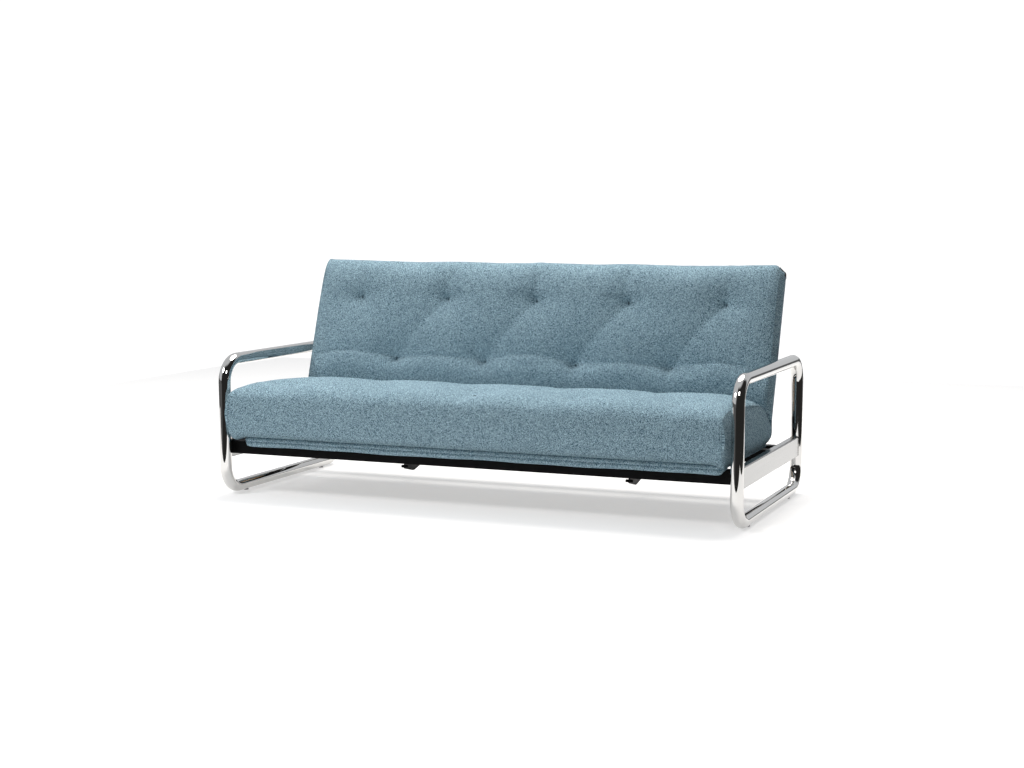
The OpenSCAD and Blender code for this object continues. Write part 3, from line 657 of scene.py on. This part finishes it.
drop = corner_drop(grid_x, up_back) * on_back
top_y -= drop * math.sin(LEAN)
top_z -= drop * math.cos(LEAN)
up_under = (under_y - FOLD) * math.sin(LEAN) + (under_z - DECK) * math.cos(LEAN)
drop = corner_drop(grid_x, up_under) * on_back
under_y = under_y - drop * math.sin(LEAN)
under_z = under_z - drop * math.cos(LEAN)

# One closed mesh: the top sheet, the underside (which shares the two noses) and the end panels.
top_grid = np.stack([grid_x, top_y, top_z], axis=2)
under_grid = np.stack([grid_x, under_y, under_z], axis=2)
verts = [tuple(p) for p in top_grid.reshape(-1, 3)]
top_id = np.arange(COLUMNS * ROWS).reshape(COLUMNS, ROWS)
under_id = np.zeros_like(top_id)
under_id[:, 0] = top_id[:, 0]
under_id[:, -1] = top_id[:, -1]
for c in range(COLUMNS):
    for r in range(1, ROWS - 1):
        under_id[c, r] = len(verts)
        verts.append(tuple(under_grid[c, r]))
faces = []
uvs = []
along_top = lengths(tops)
along_under = lengths(unders)
for c in range(COLUMNS - 1):
    for r in range(ROWS - 1):
        faces.append((top_id[c, r], top_id[c + 1, r], top_id[c + 1, r + 1], top_id[c, r + 1]))
        uvs.append([(xs[c], along_top[r]), (xs[c + 1], along_top[r]), (xs[c + 1], along_top[r + 1]),
                    (xs[c], along_top[r + 1])])
        faces.append((under_id[c, r], under_id[c, r + 1], under_id[c + 1, r + 1], under_id[c + 1, r]))
        uvs.append([(xs[c], -along_under[r]), (xs[c], -along_under[r + 1]),
                    (xs[c + 1], -along_under[r + 1]), (xs[c + 1], -along_under[r])])

# End panels: strips from the top sheet to the underside, bulging a few millimetres.
PANEL_STEPS = 6
panel_ids = []
for c, side in ((0, -1), (COLUMNS - 1, 1)):
    strip = [top_id[c]]
    for k in range(1, PANEL_STEPS):
        t = k / PANEL_STEPS
        ids = [top_id[c, 0]]
        for r in range(1, ROWS - 1):
            y, z = (1 - t) * top_grid[c, r, 1:] + t * under_grid[c, r, 1:]
            ids.append(len(verts))
            verts.append((side * (HALF + 0.014 * math.sin(math.pi * t) ** 0.6), y, z))
        ids.append(top_id[c, ROWS - 1])
        strip.append(np.array(ids))
    strip.append(under_id[c])
    panel_ids += [i for ids in strip[1:-1] for i in ids[1:-1]]
    for k in range(PANEL_STEPS):
        for r in range(ROWS - 1):
            corners = [strip[k][r], strip[k][r + 1], strip[k + 1][r + 1], strip[k + 1][r]]
            kept = [v for i, v in enumerate(corners) if v not in corners[:i]]
            if side < 0:
                kept.reverse()
            kept = kept[::-1]
            if len(kept) > 2:
                faces.append(tuple(kept))
                uvs.append([(verts[v][1], verts[v][2]) for v in kept])

faces = [tuple(int(v) for v in face) for face in faces]
futon = new_object("futon_mattress", verts, faces, cover)
futon.data.shade_smooth()
lay_weave(futon, uvs)

# Held points of the cloth: the undersides on their decks, the inside of the crease, the end panels
# and the tufts. The rest of the top sheet swells under pressure.
held = np.ones(len(verts))
crease_row = SEAT_STEPS - 1
for c in range(COLUMNS):
    for r in range(ROWS):
        from_crease = abs(r - crease_row)
        from_end = min(c, COLUMNS - 1 - c)
        free = smoothstep((from_crease - 3) / 3) * (1 if from_end > 0 else 0)
        held[top_id[c, r]] = 1 - float(free)
for tufts, coordinate in ((upper_tufts + lower_tufts, up_back), (seat_tufts, top_y)):
    for tx, ts in tufts:
        near = np.hypot(grid_x - tx, coordinate - ts)
        near[on_back != (tufts is not seat_tufts)] = 9
        held[top_id[near < 0.009]] = 1
held[panel_ids] = 1


def inflate(piece, held, pressure, frames, cap, rounds):
    """Swells a piece as cloth under pressure, and keeps each point within cap of where it began. The
    movement is evened out between neighbours, so that the fabric shows broad folds and no ripples."""
    group = piece.vertex_groups.new(name="held")
    for i, weight in enumerate(held):
        if weight > 0.01:
            group.add([i], float(weight), "REPLACE")
    before = np.array([v.co for v in piece.data.vertices])
    cloth = piece.modifiers.new("cloth", "CLOTH")
    fabric = cloth.settings
    fabric.quality = 5
    fabric.vertex_group_mass = "held"
    fabric.use_pressure = True
    fabric.uniform_pressure_force = pressure
    fabric.shrink_min = -0.02
    fabric.effector_weights.gravity = 0
    fabric.bending_stiffness = 1.5
    cloth.collision_settings.use_collision = False
    cloth.point_cache.frame_start = 1
    cloth.point_cache.frame_end = frames
    for number in range(1, frames + 1):
        bpy.context.scene.frame_set(number)
    shaped = piece.evaluated_get(bpy.context.evaluated_depsgraph_get()).to_mesh()
    after = np.array([v.co for v in shaped.vertices])
    piece.modifiers.remove(cloth)
    bpy.context.scene.frame_set(1)
    moved = after - before
    far = np.linalg.norm(moved, axis=1)[:, None]
    moved *= cap * np.tanh(far / cap) / np.maximum(far, 1e-9)
    ends = np.array([edge.vertices for edge in piece.data.edges])
    count = np.bincount(ends.ravel(), minlength=len(moved))[:, None]
    free = (1 - np.array(held))[:, None]
    for _ in range(rounds):
        near = np.zeros_like(moved)
        np.add.at(near, ends[:, 0], moved[ends[:, 1]])
        np.add.at(near, ends[:, 1], moved[ends[:, 0]])
        moved += 0.7 * np.minimum(1, free * 3) * (near / count - moved)
    piece.data.vertices.foreach_set("co", (before + moved).ravel())
    piece.data.update()


inflate(futon, held, pressure=4.0, frames=20, cap=0.024, rounds=3)

# Swelling closes the crease's two lips on each other, so they are parted again by a hair. The crease
# runs up between them one way, and the seat's lip lies on the other.
LIP_GAP = 0.0016
points = np.array([v.co for v in futon.data.vertices])
lip_dir = np.array([-0.303, 0.953])
lip_out = np.array([-0.953, -0.303])
seat_side = top_id[:, SEAT_STEPS - 14:SEAT_STEPS - 1].ravel()
back_side = top_id[:, SEAT_STEPS:SEAT_STEPS + 16].ravel()
for ids, sign in ((seat_side, 1), (back_side, -1)):
    relative = points[ids, 1:] - np.array(creased)
    up_lip = relative @ lip_dir
    clear = sign * (relative @ lip_out)
    short = np.where((up_lip > 0.004) & (up_lip < 0.07), np.maximum(0, LIP_GAP - clear), 0)
    points[ids, 1:] += sign * short[:, None] * lip_out
futon.data.vertices.foreach_set("co", points.ravel())
futon.data.update()


def subdivided(piece, levels=1):
    """Replaces the piece's mesh by its subdivision surface."""
    piece.modifiers.new("smooth", "SUBSURF").levels = levels
    shaped = piece.evaluated_get(bpy.context.evaluated_depsgraph_get())
    mesh = bpy.data.meshes.new_from_object(shaped)
    piece.modifiers.clear()
    piece.vertex_groups.clear()
    piece.data = mesh


subdivided(futon)
final = np.array([v.co for v in futon.data.vertices])[:len(verts)]
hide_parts("seat_mattress", "back_mattress")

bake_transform(futon)


# ---------------------------------------------------------------- end seams

# Each end of the mattress is closed by a panel, sewn in with a welt: a thin cord rolled in the cover's
# cloth. A row of lockstitches beside it holds the seam allowance flat.

# Twisted polyester sewing thread: dark blue-grey with a soft shine. Its twist is drawn 0.8 mm long,
# coarser than the real one, so that it shows.
thread, tree, shader = new_material("twisted_polyester_thread", Roughness=0.7)
where = add(tree, "ShaderNodeTexCoord").outputs["Object"]
twist = add(tree, "ShaderNodeTexNoise", {"Vector": where, "Scale": 1 / (0.8 * MM), "Detail": 1.0})
feed(shader, {"Base Color": add(tree, "ShaderNodeValToRGB", {"Fac": twist},
                                stops=((0.4, "#1e2e38"), (0.65, "#38505d"))),
              "Normal": add(tree, "ShaderNodeBump", {"Height": twist, "Distance": 0.3 * MM,
                                                     "Strength": 0.5})})


def new_tree(name, **sizes):
    """A geometry node tree with a named number input for each size, and its two end nodes."""
    tree = bpy.data.node_groups.new(name, "GeometryNodeTree")
    tree.interface.new_socket("Geometry", in_out="INPUT", socket_type="NodeSocketGeometry")
    for label, value in sizes.items():
        made = tree.interface.new_socket(label.replace("_", " "), in_out="INPUT",
                                         socket_type="NodeSocketFloat")
        made.default_value = value
    tree.interface.new_socket("Geometry", in_out="OUTPUT", socket_type="NodeSocketGeometry")
    return tree, tree.nodes.new("NodeGroupInput"), tree.nodes.new("NodeGroupOutput")


def grown(name, tree, verts, edges, **sizes):
    """The piece that a tree makes from points or lines, as a plain mesh at the origin."""
    seed = bpy.data.meshes.new(name + "_line")
    seed.from_pydata([tuple(map(float, v)) for v in verts], edges, [])
    maker = bpy.data.objects.new(name + "_line", seed)
    bpy.context.scene.collection.objects.link(maker)
    modifier = maker.modifiers.new("grow", "NODES")
    modifier.node_group = tree
    for item in tree.interface.items_tree:
        label = item.name.replace(" ", "_")
        if item.in_out == "INPUT" and label in sizes:
            modifier[item.identifier] = sizes[label]
    mesh = bpy.data.meshes.new_from_object(maker.evaluated_get(bpy.context.evaluated_depsgraph_get()))
    bpy.data.objects.remove(maker)
    piece = bpy.data.objects.new(name, mesh)
    bpy.context.scene.collection.objects.link(piece)
    mesh.shade_smooth()
    return piece


welt, start, end = new_tree("welt_along_line", Cord_radius=0.0024)
line = add(welt, "GeometryNodeMeshToCurve", {"Mesh": start.outputs["Geometry"]})
even = add(welt, "GeometryNodeResampleCurve", {"Curve": line, "Length": 0.012}, mode="LENGTH")
ring = add(welt, "GeometryNodeCurvePrimitiveCircle", {"Resolution": 8,
                                                      "Radius": start.outputs["Cord radius"]})
cord = add(welt, "GeometryNodeCurveToMesh", {"Curve": even, "Profile Curve": ring})
real = add(welt, "GeometryNodeRealizeInstances", {"Geometry": cord})
feed(end, {"Geometry": add(welt, "GeometryNodeSetMaterial", {"Geometry": real, "Material": cover})})

sewn, start, end = new_tree("stitches_along_line", Stitch_pitch=0.009, Thread_radius=0.0007,
                            Stitch_length=0.006)
line = add(sewn, "GeometryNodeMeshToCurve", {"Mesh": start.outputs["Geometry"]})
spots = add(sewn, "GeometryNodeCurveToPoints", {"Curve": line, "Length": start.outputs["Stitch pitch"]},
            mode="LENGTH")
bar = add(sewn, "GeometryNodeMeshCylinder", {"Vertices": 6, "Radius": start.outputs["Thread radius"],
                                             "Depth": start.outputs["Stitch length"]})
laid = add(sewn, "GeometryNodeInstanceOnPoints", {"Points": spots, "Instance": bar,
                                                  "Rotation": spots.outputs["Rotation"]})
real = add(sewn, "GeometryNodeRealizeInstances", {"Geometry": laid})
feed(end, {"Geometry": add(sewn, "GeometryNodeSetMaterial", {"Geometry": real, "Material": thread})})

for side, c, inward in (("left", 0, 1), ("right", COLUMNS - 1, -1)):
    ring_ids = list(top_id[c]) + [int(i) for i in under_id[c][::-1][1:-1]]
    edge = final[ring_ids]
    lines = [(i, (i + 1) % len(edge)) for i in range(len(edge))]
    seam = grown("end_seam_" + side, welt, edge, lines, Cord_radius=0.0024)
    points = [seam.data.vertices[loop.vertex_index].co for loop in seam.data.loops]
    layer = seam.data.uv_layers.new(name="weave")
    layer.uv.foreach_set("vector", [value for x, y, z in points for value in (x + y, z)])
    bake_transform(seam)
    beside = final[list(top_id[c + inward])] * 0.55 + final[list(top_id[c])] * 0.45
    lift = np.stack([np.zeros(ROWS), outward[:, 0], outward[:, 1]], axis=1)
    beside = beside + 0.0004 * lift
    stitches = grown("end_stitches_" + side, sewn, beside, [(i, i + 1) for i in range(ROWS - 1)])
    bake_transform(stitches)


# ---------------------------------------------------------------- tuft ties

# At each dimple a doubled waxed thread is drawn through the whole mattress with a long needle and
# knotted, so that the filling stays put. Two short ends of thread lie in the dimple.
tied, start, end = new_tree("ties_on_points", Thread_radius=0.0015, Tie_length=0.022, Apart=0.0022,
                            Tilt=0.0)
bar = add(tied, "GeometryNodeMeshCylinder", {"Vertices": 8, "Radius": start.outputs["Thread radius"],
                                             "Depth": start.outputs["Tie length"]})
shift = add(tied, "ShaderNodeCombineXYZ", {"X": start.outputs["Apart"]})
second = add(tied, "GeometryNodeTransform", {"Geometry": bar, "Translation": shift})
pair = add(tied, "GeometryNodeJoinGeometry", {"Geometry": bar})
feed(pair, {"Geometry": second})
lying = add(tied, "ShaderNodeCombineXYZ", {"X": start.outputs["Tilt"]})
laid = add(tied, "GeometryNodeInstanceOnPoints", {"Points": start.outputs["Geometry"], "Instance": pair,
                                                  "Rotation": lying})
real = add(tied, "GeometryNodeRealizeInstances", {"Geometry": laid})
feed(end, {"Geometry": add(tied, "GeometryNodeSetMaterial", {"Geometry": real, "Material": thread})})

for tufts, coordinate, body in ((upper_tufts + lower_tufts, up_back, "backrest"),
                                (seat_tufts, top_y, "base")):
    spots = []
    for tx, ts in tufts:
        near = np.hypot(grid_x - tx, coordinate - ts) + 9 * (on_back != (body == "backrest"))
        c, r = np.unravel_index(np.argmin(near), near.shape)
        spots.append(final[top_id[c, r]] + 0.002 * np.array([0, outward[r, 0], outward[r, 1]]))
    tilt = LEAN if body == "backrest" else math.pi / 2
    ties = grown("tuft_ties_" + body, tied, spots, [], Tilt=-tilt)
    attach(ties, body)


# ---------------------------------------------------------------- corner straps

# A strap of black webbing, about 40 mm wide, holds each top corner of the mattress to the back's frame.
# It is fixed behind the stile, lies flat across the rear of the mattress and is sewn to its end panel.
# The right one is a little wider and reaches further round the corner.

# Woven black webbing: matt black with diagonal ribs 2.4 mm apart that catch a little light.
webbing, tree, shader = new_material("woven_black_webbing", Roughness=0.8)
where = add(tree, "ShaderNodeTexCoord").outputs["Object"]
ribs = add(tree, "ShaderNodeTexWave", {"Vector": where, "Scale": 260.0, "Distortion": 0.4},
           bands_direction="DIAGONAL").outputs["Fac"]
feed(shader, {"Base Color": add(tree, "ShaderNodeValToRGB", {"Fac": ribs},
                                stops=((0.2, "#0d0d0e"), (0.9, "#222224"))),
              "Normal": add(tree, "ShaderNodeBump", {"Height": ribs, "Distance": 0.4 * MM,
                                                     "Strength": 0.7})})

STRAP_ROWS = 12
STRAP_LOW = 0.653  # up the back from the fold
cushion = BVHTree.FromPolygons([v.co for v in futon.data.vertices],
                               [face.vertices for face in futon.data.polygons])


def on_cushion(place, above):
    """The point of the mattress's surface nearest a place, raised off it."""
    spot, facing, _, _ = cushion.find_nearest([float(p) for p in place])
    return np.array(spot) + above * np.array(facing)


for side, sign, reach, high in (("left", -1, 0.030, 0.701), ("right", 1, 0.066, 0.714)):
    strap_verts = []
    for height in np.linspace(STRAP_LOW, high, STRAP_ROWS):
        line = spline([(0.931, 0.004), (0.958, 0.004), (0.985, 0.003), (1.003, -0.003), (1.016, -0.013),
                       (1.020, -0.022), (1.020, -reach)], 5)
        strap_verts += [on_cushion((sign * x, *leant(n, height)), 0.0016) for x, n in line]
    count = len(line)
    strap_faces = [(r * count + k, r * count + k + 1, (r + 1) * count + k + 1, (r + 1) * count + k)
                   for r in range(STRAP_ROWS - 1) for k in range(count - 1)]
    strap = new_object("strap_" + side, strap_verts, strap_faces, webbing)
    strap.data.shade_smooth()
    thick = strap.modifiers.new("thick", "SOLIDIFY")
    thick.thickness = 0.002
    thick.offset = 0
    strap.data = bpy.data.meshes.new_from_object(strap.evaluated_get(bpy.context.evaluated_depsgraph_get()))
    strap.modifiers.clear()
    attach(strap, "backrest")
    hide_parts("corner_strap_" + side)
